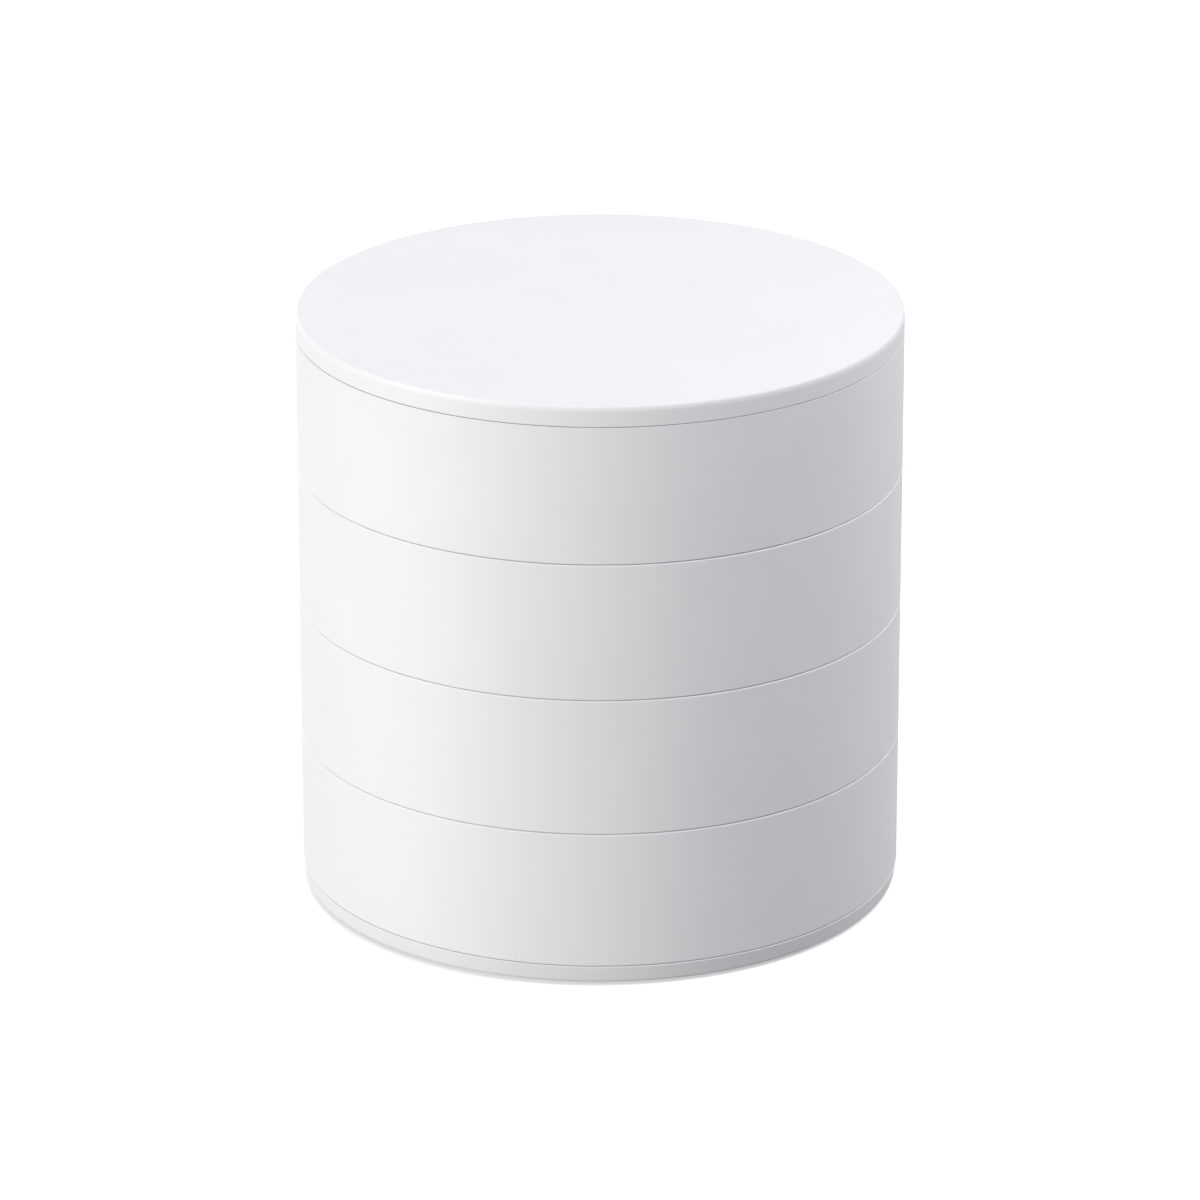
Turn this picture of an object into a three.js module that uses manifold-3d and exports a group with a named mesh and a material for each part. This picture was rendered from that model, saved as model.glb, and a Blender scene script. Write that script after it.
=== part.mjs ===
// Swivel storage case: a lid, four round trays and a base plate, stacked on one upright shaft just inside
// the rear wall. Millimetres, +Z up, front towards -Y, origin at the middle of the footprint on the table.
import * as THREE from "three";
import { mergeVertices } from "three/addons/utils/BufferGeometryUtils.js";
import Module from "manifold-3d";

// Case
const caseDiameter = 100;
const seamGap = 0.12; // open line between one layer and the next
const facetTolerance = 0.08; // how far a flat may lie inside the true curve
const coarsestFlat = 0.2; // the same as a share of the radius, for the smallest curves
const weldDistance = 1e-4; // points nearer than this are one point
const edgeFlats = 2; // flats across a rounded edge
const filletFlats = 3; // flats across a floor fillet
const fitGap = 0.05; // clearance between pieces that are fixed to each other
const runningGap = 0.06; // radial clearance of a bore that turns on the shaft
const nestGap = 0.2; // radial clearance of a boss that turns round a hub

// Trays
const trayHeight = 23.05;
const trayWall = 2;
const trayFloor = 2;
const trayRimRound = 0.25;
const topRimRound = 0.1; // rim of the top tray, kept crisp under the lid
const trayHeelRound = 0.15;
const dividerThickness = 1.6;
const pocketCorner = 4; // upright corners of a compartment
const floorFillet = 2.5;
const trayRelief = 0.4; // depth of the hollow under the floor
const trayLand = 3; // width of the flat ring left round that hollow

// Lid
const lidThickness = 3.4;
const lidEdgeRound = 0.5;
const lidRelief = 1;
const lidLand = 2.4;

// Base plate
const baseThickness = 2.9;
const baseEdgeRound = 0.25;
const baseDraft = 0.35; // how far the side leans in towards the lower face
const baseSkin = 1.7;
const baseLand = 2.4;
const baseBossWall = 3; // material round the screw's counterbore
const ribCount = 8;
const ribWidth = 1.2;
const ribHubRadius = 6;

// Foot pads
const footCount = 4;
const footRadius = 5.5;
const footThickness = 1;
const footProud = 0.5; // how far a pad stands below the base plate
const footEdgeRound = 0.3;
const footInset = 14; // from the case's edge to the middle of a pad
const footSeatWall = 1.5;
const footGap = 0.15;

// Pivot
const shaftDiameter = 6;
const shaftChamfer = 0.4;
const threadDiameter = 5; // threaded upper end of the shaft
const threadTip = 0.3; // from the end of the thread to the top of the hub
const hubDiameter = 9.2; // lid hub and base bush outside
const hubReach = 5.8; // how far hub and bush reach into the nearest tray
const hubFlangeRadius = 6.8; // corners of the six-sided flange inside the lid
const hubFlangeThickness = 1;
const hubCover = 0.7; // lid material under that flange
const bossWall = 2.6; // tray material round a hub
const bossMerge = 0.2; // how far the boss runs into the tray's wall
const seatDepth = 0.5; // shallow seat for a washer in the top of a boss
const seatGap = 0.1; // washer edge to the edge of its seat
const washerInset = 0.8; // washer edge inside the boss edge
const washerPlay = 0.05;
const waveSeatDepth = 0.4;
const waveThickness = 0.22;
const waveCount = 3;
const waveFlats = 12; // flats along one wave

// Retaining screw under the base
const bushFlangeRadius = 6;
const bushFlangeThickness = 0.5;
const retainerInset = 0.6; // washer edge inside the bush flange
const retainerThickness = 0.4;
const screwHeadRadius = 4;
const screwHeadThickness = 0.8;
const screwShankDiameter = 3;
const screwLength = 9;
const screwTapMargin = 1.5; // tapped hole deeper than the screw
const screwRecess = 0.1; // head above the base plate's lower face
const crossSlotWidth = 0.9;
const crossSlotLength = 4;
const crossSlotDepth = 0.5;

// Values that follow from those above
const caseRadius = caseDiameter / 2;
const innerRadius = caseRadius - trayWall;
const shaftRadius = shaftDiameter / 2;
const hubRadius = hubDiameter / 2;
const bossRadius = hubRadius + nestGap + bossWall;
const pivot = new THREE.Vector2(0, innerRadius + bossMerge - bossRadius);
const washerRadius = bossRadius - washerInset;
const seatRadius = washerRadius + seatGap;
const washerThickness = seatDepth + seamGap - washerPlay;
const retainerRadius = bushFlangeRadius - retainerInset;
const tierPitch = trayHeight + seamGap;
const baseTop = footProud + baseThickness;
const retainerStack = screwRecess + screwHeadThickness + retainerThickness + bushFlangeThickness + 4 * fitGap;
const footCircle = caseRadius - footInset;
const overshoot = 1; // cutters reach this far past the face they open

// Compartments of each tier, top tier first
const layouts = [
  ["backRight", "backLeft", "front"],
  ["backRight", "backLeft", "frontRight", "frontLeft"],
  ["right", "left"],
  ["whole"],
];

// Finishes
const finish = (color, roughness, metalness) =>
  new THREE.MeshStandardMaterial({ color, roughness, metalness });
const shellPlastic = () => finish(0xf1f0f2, 0.42, 0);
const slipPlastic = () => finish(0xe9e6dc, 0.38, 0);
const steel = () => finish(0xb9bcc0, 0.3, 1);
const brass = () => finish(0xc2a25a, 0.32, 1);
const rubber = () => finish(0xb7b7b9, 0.85, 0);

// Joining and cutting
const wasm = await Module();
wasm.setup();

function solid(geometry) {
  const bare = geometry.clone();
  bare.deleteAttribute("normal");
  bare.deleteAttribute("uv");
  const merged = mergeVertices(bare, weldDistance);
  return new wasm.Manifold(
    new wasm.Mesh({
      numProp: 3,
      vertProperties: merged.attributes.position.array,
      triVerts: new Uint32Array(merged.index.array),
    }),
  );
}

function geometryOf(body) {
  const mesh = body.getMesh();
  const geometry = new THREE.BufferGeometry();
  geometry.setAttribute("position", new THREE.BufferAttribute(mesh.vertProperties, 3));
  geometry.setIndex(new THREE.BufferAttribute(mesh.triVerts, 1));
  geometry.computeVertexNormals();
  return geometry;
}

const join = (first, ...others) => others.reduce((sum, other) => sum.add(other), first);
const cut = (first, ...tools) => tools.reduce((rest, tool) => rest.subtract(tool), first);

// Number of flats a full circle needs, in fours so that it meets both axes
function flatsFor(radius) {
  const step = 2 * Math.acos(1 - Math.min(facetTolerance / radius, coarsestFlat));
  return 4 * Math.ceil((2 * Math.PI) / step / 4);
}

// A bore is widened so that its flats, not its corners, keep the clearance
const boreRadius = (radius) => radius / Math.cos(Math.PI / flatsFor(radius));

// Revolved profile of [radius, height] points, running up the outside from axis to axis
function turned(profile, flats = flatsFor(Math.max(...profile.map(([radius]) => radius)))) {
  const points = profile.map(([radius, height]) => new THREE.Vector2(radius, height));
  return solid(new THREE.LatheGeometry(points, flats).rotateX(Math.PI / 2));
}

// Closed ring profile: the loop ends where it starts
function turnedRing(inner, outer, bottom, top) {
  const flats = flatsFor(outer);
  return turned(
    [
      [inner, bottom],
      [outer, bottom],
      [outer, top],
      [inner, top],
      [inner, bottom],
    ],
    flats,
  );
}

function rod(radius, bottom, top, centre = new THREE.Vector2(), flats = flatsFor(radius)) {
  const shape = new THREE.CylinderGeometry(radius, radius, top - bottom, flats).rotateX(Math.PI / 2);
  return solid(shape.translate(centre.x, centre.y, (bottom + top) / 2));
}

const bore = (radius, bottom, top, centre) => rod(boreRadius(radius), bottom, top, centre, flatsFor(radius));

// Rounded edge as profile points between two angles, in degrees from +radius
function roundedEdge(radius, height, round, fromDegrees, toDegrees) {
  return Array.from({ length: edgeFlats + 1 }, (_, i) => {
    const angle = THREE.MathUtils.degToRad(fromDegrees + ((toDegrees - fromDegrees) * i) / edgeFlats);
    return [radius + round * Math.cos(angle), height + round * Math.sin(angle)];
  });
}

// Outline edges, listed anticlockwise round the space they bound
const straightEdge = (x, y, distance) => ({ kind: "straight", normal: new THREE.Vector2(x, y), distance });
const wallEdge = (radius) => ({ kind: "wall", centre: new THREE.Vector2(), radius, side: -1 });
const bossEdge = (radius) => ({ kind: "boss", centre: pivot, radius, side: 1 });

function movedInward(edge, amount) {
  if (edge.kind === "straight") return { ...edge, distance: edge.distance + amount };
  return { ...edge, radius: edge.radius + edge.side * amount };
}

// Direction of travel along an edge at a point, with the space on the left
function travel(edge, point) {
  const inward =
    edge.kind === "straight" ? edge.normal : point.clone().sub(edge.centre).multiplyScalar(edge.side);
  return new THREE.Vector2(inward.y, -inward.x);
}

function nearestOn(edge, point) {
  if (edge.kind === "straight") {
    return point.clone().addScaledVector(edge.normal, edge.distance - point.dot(edge.normal));
  }
  return point.clone().sub(edge.centre).setLength(edge.radius).add(edge.centre);
}

// Both crossings of a circle with the line through foot along direction
function crossings(circle, foot, direction) {
  const along = circle.centre.clone().sub(foot).dot(direction);
  const middle = foot.clone().addScaledVector(direction, along);
  const half = Math.sqrt(circle.radius ** 2 - middle.distanceToSquared(circle.centre));
  return [middle.clone().addScaledVector(direction, half), middle.clone().addScaledVector(direction, -half)];
}

function meetings(a, b) {
  if (a.kind === "straight" && b.kind === "straight") {
    const det = a.normal.cross(b.normal);
    const x = (a.distance * b.normal.y - b.distance * a.normal.y) / det;
    const y = (a.normal.x * b.distance - b.normal.x * a.distance) / det;
    return [new THREE.Vector2(x, y)];
  }
  if (a.kind === "straight") {
    return crossings(b, a.normal.clone().multiplyScalar(a.distance), travel(a));
  }
  if (b.kind === "straight") return meetings(b, a);
  const between = b.centre.clone().sub(a.centre);
  const span = between.length();
  between.normalize();
  const reach = (a.radius ** 2 - b.radius ** 2 + span ** 2) / (2 * span);
  const foot = a.centre.clone().addScaledVector(between, reach);
  return crossings(a, foot, new THREE.Vector2(-between.y, between.x));
}

// Middle of the round that blends one edge into the next: where both, moved inward, meet in a left turn
function cornerCentre(from, to, round) {
  const a = movedInward(from, round);
  const b = movedInward(to, round);
  return meetings(a, b).find((point) => travel(a, point).cross(travel(b, point)) > 0);
}

// Points along an arc, turning left for turn 1 and right for turn -1
function arcPoints(centre, start, end, turn) {
  const radius = start.distanceTo(centre);
  const first = Math.atan2(start.y - centre.y, start.x - centre.x);
  const last = Math.atan2(end.y - centre.y, end.x - centre.x);
  const fullTurn = 2 * Math.PI;
  const sweep = turn * (((turn * (last - first)) % fullTurn) + fullTurn) % fullTurn;
  const steps = Math.max(2, Math.ceil((flatsFor(radius) * Math.abs(sweep)) / fullTurn));
  return Array.from({ length: steps + 1 }, (_, i) => {
    const angle = first + (sweep * i) / steps;
    return new THREE.Vector2(centre.x + radius * Math.cos(angle), centre.y + radius * Math.sin(angle));
  });
}

// Outline of a space with every corner rounded
function outline(edges, round) {
  const centres = edges.map((edge, i) => cornerCentre(edge, edges[(i + 1) % edges.length], round));
  const points = [];
  edges.forEach((edge, i) => {
    const before = centres[(i + edges.length - 1) % edges.length];
    const after = centres[i];
    const start = nearestOn(edge, before);
    const end = nearestOn(edge, after);
    if (edge.kind === "straight") points.push(start, end);
    else points.push(...arcPoints(edge.centre, start, end, -edge.side));
    const next = edges[(i + 1) % edges.length];
    points.push(...arcPoints(after, end, nearestOn(next, after), 1));
  });
  const apart = (p, i) => p.distanceTo(points[(i + 1) % points.length]) > weldDistance;
  return new THREE.Shape(points.filter(apart));
}

// Prism over an outline; a fillet rounds its lower edge
function prism(shape, bottom, top, fillet = 0) {
  const geometry = new THREE.ExtrudeGeometry(shape, {
    depth: top - bottom - fillet,
    bevelEnabled: fillet > 0,
    bevelThickness: fillet,
    bevelSize: fillet,
    bevelOffset: -fillet,
    bevelSegments: filletFlats,
  });
  return solid(geometry.translate(0, 0, bottom + fillet));
}

// Compartments, by the faces that bound them
function compartmentEdges(name) {
  const half = dividerThickness / 2;
  const east = straightEdge(1, 0, half);
  const west = straightEdge(-1, 0, half);
  const north = straightEdge(0, 1, half);
  const south = straightEdge(0, -1, half);
  const wall = wallEdge(innerRadius);
  const boss = bossEdge(bossRadius);
  const edges = {
    backRight: [north, wall, boss, east],
    backLeft: [north, west, boss, wall],
    front: [south, wall],
    frontRight: [south, east, wall],
    frontLeft: [south, wall, west],
    right: [east, wall, boss],
    left: [west, boss, wall],
    whole: [wall, boss],
  };
  return edges[name];
}

const pocket = (name) =>
  prism(outline(compartmentEdges(name), pocketCorner), trayFloor, trayHeight + overshoot, floorFillet);

// Shallow hollow under a disc, which leaves a ring at the edge and a land round the pivot
function underside(landWidth, landRadius, depth) {
  const edges = [wallEdge(caseRadius - landWidth), bossEdge(landRadius)];
  return prism(outline(edges, pocketCorner), -overshoot, depth);
}

// Tray, standing on z = 0
function tray(layout, isTop, isBottom) {
  const rimRound = isTop ? topRimRound : trayRimRound;
  const body = turned([
    [0, 0],
    ...roundedEdge(caseRadius - trayHeelRound, trayHeelRound, trayHeelRound, -90, 0),
    ...roundedEdge(caseRadius - rimRound, trayHeight - rimRound, rimRound, 0, 90),
    [0, trayHeight],
  ]);
  const nest = hubRadius + nestGap;
  const tools = [
    ...layout.map(pocket),
    underside(trayLand, bossRadius, trayRelief),
    bore(seatRadius, trayHeight - seatDepth, trayHeight + overshoot, pivot),
    bore(shaftRadius + runningGap, -overshoot, trayHeight + overshoot, pivot),
  ];
  if (isTop) tools.push(bore(nest, trayHeight - hubReach, trayHeight + overshoot, pivot));
  if (isBottom) tools.push(bore(nest, -overshoot, hubReach, pivot));
  return cut(body, ...tools);
}

// Six-sided flange with a flat towards the case's edge
function hexagon(radius, bottom, top) {
  const sides = 6;
  const shape = new THREE.CylinderGeometry(radius, radius, top - bottom, sides, 1, false, Math.PI / sides);
  return solid(shape.rotateX(Math.PI / 2).translate(pivot.x, pivot.y, (bottom + top) / 2));
}

// Lid, underside on z = 0, with the cavity its hub is moulded into
function lid() {
  const body = turned([
    [0, 0],
    ...roundedEdge(caseRadius - trayHeelRound, trayHeelRound, trayHeelRound, -90, 0),
    ...roundedEdge(caseRadius - lidEdgeRound, lidThickness - lidEdgeRound, lidEdgeRound, 0, 90),
    [0, lidThickness],
  ]);
  const flangeTop = hubCover + hubFlangeThickness;
  return cut(
    body,
    underside(lidLand, bossRadius, lidRelief),
    bore(hubRadius + fitGap, -overshoot, hubCover + fitGap, pivot),
    hexagon(hubFlangeRadius + 2 * fitGap, hubCover - fitGap, flangeTop + fitGap),
  );
}

// Hub, in the lid's own height
function lidHub() {
  const flangeTop = hubCover + hubFlangeThickness;
  return cut(
    join(rod(hubRadius, -hubReach, flangeTop, pivot), hexagon(hubFlangeRadius, hubCover, flangeTop)),
    bore(threadDiameter / 2 + fitGap, -hubReach - overshoot, flangeTop + overshoot, pivot),
  );
}

// Places of the foot pads, one in each quarter
const footPlaces = Array.from({ length: footCount }, (_, i) => {
  const angle = (2 * Math.PI * (i + 0.5)) / footCount;
  return new THREE.Vector2(footCircle * Math.cos(angle), footCircle * Math.sin(angle));
});

// Hollow under the base plate, less the ribs, rib hub and foot seats that stand in it
function baseHollow() {
  const depth = baseThickness - baseSkin;
  const bossLand = bushFlangeRadius + nestGap + baseBossWall;
  const ribs = Array.from({ length: ribCount }, (_, i) => {
    const bar = new THREE.BoxGeometry(caseRadius, ribWidth, depth + 2 * overshoot);
    return solid(bar.translate(caseRadius / 2, 0, depth / 2).rotateZ((2 * Math.PI * i) / ribCount));
  });
  const seats = footPlaces.map((place) =>
    rod(footRadius + footGap + footSeatWall, -2 * overshoot, depth + overshoot, place),
  );
  const ribHub = rod(ribHubRadius, -2 * overshoot, depth + overshoot);
  return cut(underside(baseLand, bossLand, depth), ...ribs, ...seats, ribHub);
}

// Base plate, lower face on z = 0
function basePlate() {
  const body = turned([
    [0, 0],
    ...roundedEdge(caseRadius - baseDraft - baseEdgeRound, baseEdgeRound, baseEdgeRound, -90, 0),
    ...roundedEdge(caseRadius - trayHeelRound, baseThickness - trayHeelRound, trayHeelRound, 0, 90),
    [0, baseThickness],
  ]);
  const pads = footPlaces.map((place) =>
    bore(footRadius + footGap, -overshoot, footThickness - footProud + fitGap, place),
  );
  return cut(
    body,
    baseHollow(),
    ...pads,
    bore(bushFlangeRadius + nestGap, -overshoot, retainerStack, pivot),
    bore(hubRadius + fitGap, -overshoot, baseThickness + overshoot, pivot),
    bore(seatRadius, baseThickness - waveSeatDepth, baseThickness + overshoot, pivot),
  );
}

// Bush, in the base plate's own height: flange below, tube up into the bottom tray
const bushFlangeTop = retainerStack - fitGap;
const bushFlangeBottom = bushFlangeTop - bushFlangeThickness;

function baseBush() {
  const top = baseThickness + hubReach;
  const body = join(
    rod(hubRadius, bushFlangeBottom, top, pivot),
    rod(bushFlangeRadius, bushFlangeBottom, bushFlangeTop, pivot),
  );
  return cut(body, bore(shaftRadius + runningGap, -overshoot, top + overshoot, pivot));
}

// Shaft, in world height: tapped lower end, shoulder under the hub, thread above
const lidBottom = baseTop + seamGap + layouts.length * tierPitch;
const shaftBottom = footProud + bushFlangeBottom - fitGap;

function pivotShaft() {
  const shoulder = lidBottom - hubReach - fitGap;
  const tip = lidBottom + hubCover + hubFlangeThickness - threadTip;
  const tap = screwShankDiameter / 2 + fitGap;
  const thread = threadDiameter / 2;
  return turned([
    [0, shaftBottom + screwLength + screwTapMargin],
    [boreRadius(tap), shaftBottom + screwLength],
    [boreRadius(tap), shaftBottom],
    [shaftRadius - shaftChamfer, shaftBottom],
    [shaftRadius, shaftBottom + shaftChamfer],
    [shaftRadius, shoulder - shaftChamfer],
    [shaftRadius - shaftChamfer, shoulder],
    [thread, shoulder],
    [thread, tip - shaftChamfer],
    [thread - shaftChamfer, tip],
    [0, tip],
  ]).translate(pivot.x, pivot.y, 0);
}

// Washer under the screw head, then the screw, both in world height
const retainerTop = shaftBottom - fitGap;
const screwHeadTop = retainerTop - retainerThickness - fitGap;

function retainingWasher() {
  const inner = boreRadius(screwShankDiameter / 2 + nestGap);
  const ring = turnedRing(inner, retainerRadius, retainerTop - retainerThickness, retainerTop);
  return ring.translate(pivot.x, pivot.y, 0);
}

function retainingScrew() {
  const headBottom = screwHeadTop - screwHeadThickness;
  const shank = screwShankDiameter / 2;
  const body = turned([
    [0, headBottom],
    [screwHeadRadius - screwHeadThickness / 2, headBottom],
    [screwHeadRadius, headBottom + screwHeadThickness / 2],
    [screwHeadRadius, screwHeadTop],
    [shank, screwHeadTop],
    [shank, shaftBottom + screwLength - shank],
    [shank / 2, shaftBottom + screwLength],
    [0, shaftBottom + screwLength],
  ]);
  const slot = new THREE.BoxGeometry(crossSlotLength, crossSlotWidth, 2 * crossSlotDepth);
  slot.translate(0, 0, headBottom);
  const cross = join(solid(slot), solid(slot.clone().rotateZ(Math.PI / 2)));
  return cut(body, cross).translate(pivot.x, pivot.y, 0);
}

// Slip washer, standing on z = 0 at the pivot; the top one clears the hub, the others the shaft
function spacerWasher(roundHub) {
  const inner = boreRadius((roundHub ? hubRadius : shaftRadius) + nestGap);
  return turnedRing(inner, washerRadius, 0, washerThickness).translate(pivot.x, pivot.y, 0);
}

// Wave spring washer: a flat ring whose height runs in even waves, its lowest point on z = 0
function waveWasher() {
  const inner = boreRadius(hubRadius + nestGap);
  const rise = waveSeatDepth + seamGap - waveThickness - 2 * washerPlay;
  const stations = waveCount * waveFlats;
  const positions = [];
  for (let i = 0; i < stations; i += 1) {
    const angle = (2 * Math.PI * i) / stations;
    const low = (rise / 2) * (1 - Math.cos(waveCount * angle));
    for (const [radius, z] of [
      [inner, low],
      [washerRadius, low],
      [washerRadius, low + waveThickness],
      [inner, low + waveThickness],
    ]) {
      positions.push(radius * Math.cos(angle), radius * Math.sin(angle), z);
    }
  }
  const index = [];
  const corners = 4;
  for (let i = 0; i < stations; i += 1) {
    for (let k = 0; k < corners; k += 1) {
      const a = i * corners + k;
      const b = i * corners + ((k + 1) % corners);
      const c = ((i + 1) % stations) * corners + k;
      const d = ((i + 1) % stations) * corners + ((k + 1) % corners);
      index.push(a, c, b, b, c, d);
    }
  }
  const geometry = new THREE.BufferGeometry();
  geometry.setAttribute("position", new THREE.Float32BufferAttribute(positions, 3));
  geometry.setIndex(index);
  return geometry.translate(pivot.x, pivot.y, washerPlay);
}

// Foot pad, standing on z = 0 at its own middle
const footPad = () =>
  turned([
    [0, 0],
    ...roundedEdge(footRadius - footEdgeRound, footEdgeRound, footEdgeRound, -90, 0),
    [footRadius, footThickness],
    [0, footThickness],
  ]);

// Assembly
const assembly = new THREE.Group();
assembly.name = "swivel_storage_case";

function place(name, geometry, material, z = 0, at = new THREE.Vector2()) {
  const mesh = new THREE.Mesh(geometry, material);
  mesh.name = name;
  mesh.position.set(at.x, at.y, z);
  assembly.add(mesh);
}

footPlaces.forEach((at, i) => place(`foot_pad_${i + 1}`, geometryOf(footPad()), rubber(), 0, at));
place("base_plate", geometryOf(basePlate()), shellPlastic(), footProud);
place("base_bush", geometryOf(baseBush()), slipPlastic(), footProud);
place("wave_washer", waveWasher(), steel(), baseTop - waveSeatDepth);

layouts.forEach((layout, i) => {
  const isTop = i === 0;
  const isBottom = i === layouts.length - 1;
  const bottom = baseTop + seamGap + (layouts.length - 1 - i) * tierPitch;
  place(`tray_${i + 1}`, geometryOf(tray(layout, isTop, isBottom)), shellPlastic(), bottom);
  const seat = bottom + trayHeight - seatDepth;
  place(`spacer_washer_${i + 1}`, geometryOf(spacerWasher(isTop)), slipPlastic(), seat);
});

place("lid", geometryOf(lid()), shellPlastic(), lidBottom);
place("lid_hub", geometryOf(lidHub()), brass(), lidBottom);
place("pivot_shaft", geometryOf(pivotShaft()), steel());
place("retaining_washer", geometryOf(retainingWasher()), steel());
place("retaining_screw", geometryOf(retainingScrew()), steel());

export default assembly;
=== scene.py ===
"""Swivel storage case: the visible pieces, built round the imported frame.

Sizes are in millimetres in the part's own frame, +Z up and the front towards -Y. A mesh is
turned into metres when it is made. The studio's own sizes are in metres.
"""

import logging
import math
from collections.abc import Iterable, Mapping, Sequence
from dataclasses import dataclass
from enum import Enum

import bmesh
import bpy
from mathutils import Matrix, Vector
from mathutils.geometry import tessellate_polygon


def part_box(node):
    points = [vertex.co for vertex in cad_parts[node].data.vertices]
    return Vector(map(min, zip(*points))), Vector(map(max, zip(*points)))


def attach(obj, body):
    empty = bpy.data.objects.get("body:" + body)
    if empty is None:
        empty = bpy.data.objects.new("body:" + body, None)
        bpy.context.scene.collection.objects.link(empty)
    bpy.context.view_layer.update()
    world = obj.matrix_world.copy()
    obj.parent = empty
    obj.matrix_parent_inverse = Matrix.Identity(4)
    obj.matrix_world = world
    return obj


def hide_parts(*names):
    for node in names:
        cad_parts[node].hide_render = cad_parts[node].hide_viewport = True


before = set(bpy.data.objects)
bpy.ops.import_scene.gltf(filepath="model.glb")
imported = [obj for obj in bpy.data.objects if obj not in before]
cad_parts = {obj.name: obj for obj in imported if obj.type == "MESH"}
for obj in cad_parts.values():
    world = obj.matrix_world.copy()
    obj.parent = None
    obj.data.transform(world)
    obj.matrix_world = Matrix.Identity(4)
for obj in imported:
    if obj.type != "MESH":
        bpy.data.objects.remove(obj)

LOG = logging.getLogger("swivel_storage_case")

MM = 0.001
FULL_TURN = 2.0 * math.pi
MIDDLE = Vector((0.0, 0.0))  # the case's upright middle line, seen from above
CHORD = 0.006  # how far a flat of a curve may lie inside the true curve
SKIN_FLATS = 288  # flats round the outside of the case
HARDWARE_FLATS = 72  # flats round a small turned piece
WASHER_FLATS = 96  # flats round a slip washer
EDGE_STEPS = 5  # flats across a rounded edge
FILLET_STEPS = 9  # flats across a floor fillet
THREAD_STEPS = 8  # flats from one crest of a thread to the next
TWO_TRIANGLES = 6  # corners that two triangles have together
SHARP_ANGLE = math.radians(40.0)  # faces that meet at more than this keep a crisp edge
SAME_WAY = 0.99  # cosine over which two directions count as one
WEAR = "edge_wear"  # point attribute that rises to the next values along rounded edges
HEEL_WEAR = 0.4  # a sheltered outer edge, little rubbed by handling
INNER_WEAR = 0.7  # the rim of a compartment
RIM_WEAR = 1.0  # the outer edge that is handled most
WHITE = "FFFFFF"
DOWN, OUT, UP, IN = -90.0, 0.0, 90.0, 180.0  # where a profile's arc starts or ends, in degrees
UNDER = 270.0  # the same as down, reached by way of in

Step = tuple[float, ...]  # inset or radius, height and, on a rubbed edge, its wear


# Outlines

class Side(Enum):
    """Side of a round edge on which the open space lies."""

    INSIDE = -1
    OUTSIDE = 1


@dataclass(frozen=True)
class StraightEdge:
    """Straight edge of a space, at a distance along its inward normal."""

    normal: Vector
    distance: float

    def moved(self, amount: float) -> "StraightEdge":
        """Return this edge moved into the space."""
        return StraightEdge(self.normal, self.distance + amount)

    def inward(self, point: Vector) -> Vector:
        """Return the way into the space, which is the same at every point."""
        return self.normal

    def nearest(self, point: Vector) -> Vector:
        """Return the point of this edge that is nearest to another point."""
        return point + self.normal * (self.distance - point.dot(self.normal))


@dataclass(frozen=True)
class RoundEdge:
    """Circular edge of a space."""

    centre: Vector
    radius: float
    side: Side

    def moved(self, amount: float) -> "RoundEdge":
        """Return this edge moved into the space."""
        return RoundEdge(self.centre, self.radius + self.side.value * amount, self.side)

    def inward(self, point: Vector) -> Vector:
        """Return the way into the space at a point of the edge."""
        return (point - self.centre).normalized() * self.side.value

    def nearest(self, point: Vector) -> Vector:
        """Return the point of this edge that is nearest to another point."""
        return self.centre + (point - self.centre).normalized() * self.radius


Edge = StraightEdge | RoundEdge


def direction(angle: float) -> Vector:
    """Return the unit vector at an angle from +X."""
    return Vector((math.cos(angle), math.sin(angle)))


def spokes(count: int, start: float = 0.0) -> list[Vector]:
    """Return unit vectors at even steps round a turn, the first one so many steps past +X."""
    return [direction(FULL_TURN * (i + start) / count) for i in range(count)]


def left_of(way: Vector) -> Vector:
    """Return a direction turned a quarter to the left."""
    return Vector((-way.y, way.x))


def crossings(circle: RoundEdge, foot: Vector, way: Vector) -> list[Vector]:
    """Find where a line crosses a circle.

    Args:
        circle: The circle.
        foot: A point of the line.
        way: The line's unit direction.

    Returns:
        Both crossings.
    """
    middle = foot + way * (circle.centre - foot).dot(way)
    half = math.sqrt(circle.radius**2 - (middle - circle.centre).length_squared)
    return [middle + way * half, middle - way * half]


def meetings(a: Edge, b: Edge) -> list[Vector]:
    """Find where two edges meet.

    Args:
        a: One edge.
        b: The other edge.

    Returns:
        Their one or two common points.
    """
    if isinstance(a, RoundEdge) and isinstance(b, RoundEdge):
        between = b.centre - a.centre
        reach = (a.radius**2 - b.radius**2 + between.length_squared) / (2.0 * between.length)
        between.normalize()
        return crossings(a, a.centre + between * reach, left_of(between))
    if isinstance(a, RoundEdge):
        return meetings(b, a)
    if isinstance(b, RoundEdge):
        return crossings(b, a.normal * a.distance, left_of(a.normal))
    det = a.normal.cross(b.normal)
    x = (a.distance * b.normal.y - b.distance * a.normal.y) / det
    y = (a.normal.x * b.distance - b.normal.x * a.distance) / det
    return [Vector((x, y))]


def corner_centre(a: Edge, b: Edge, size: float) -> Vector:
    """Find the middle of the round that blends one edge into the next.

    Args:
        a: The edge before the corner.
        b: The edge after the corner.
        size: The corner's radius.

    Returns:
        The meeting of both edges, moved inward by the radius, at which the outline turns left.
    """
    first, second = a.moved(size), b.moved(size)
    found = meetings(first, second)
    return next(p for p in found if first.inward(p).cross(second.inward(p)) > 0.0)


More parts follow.
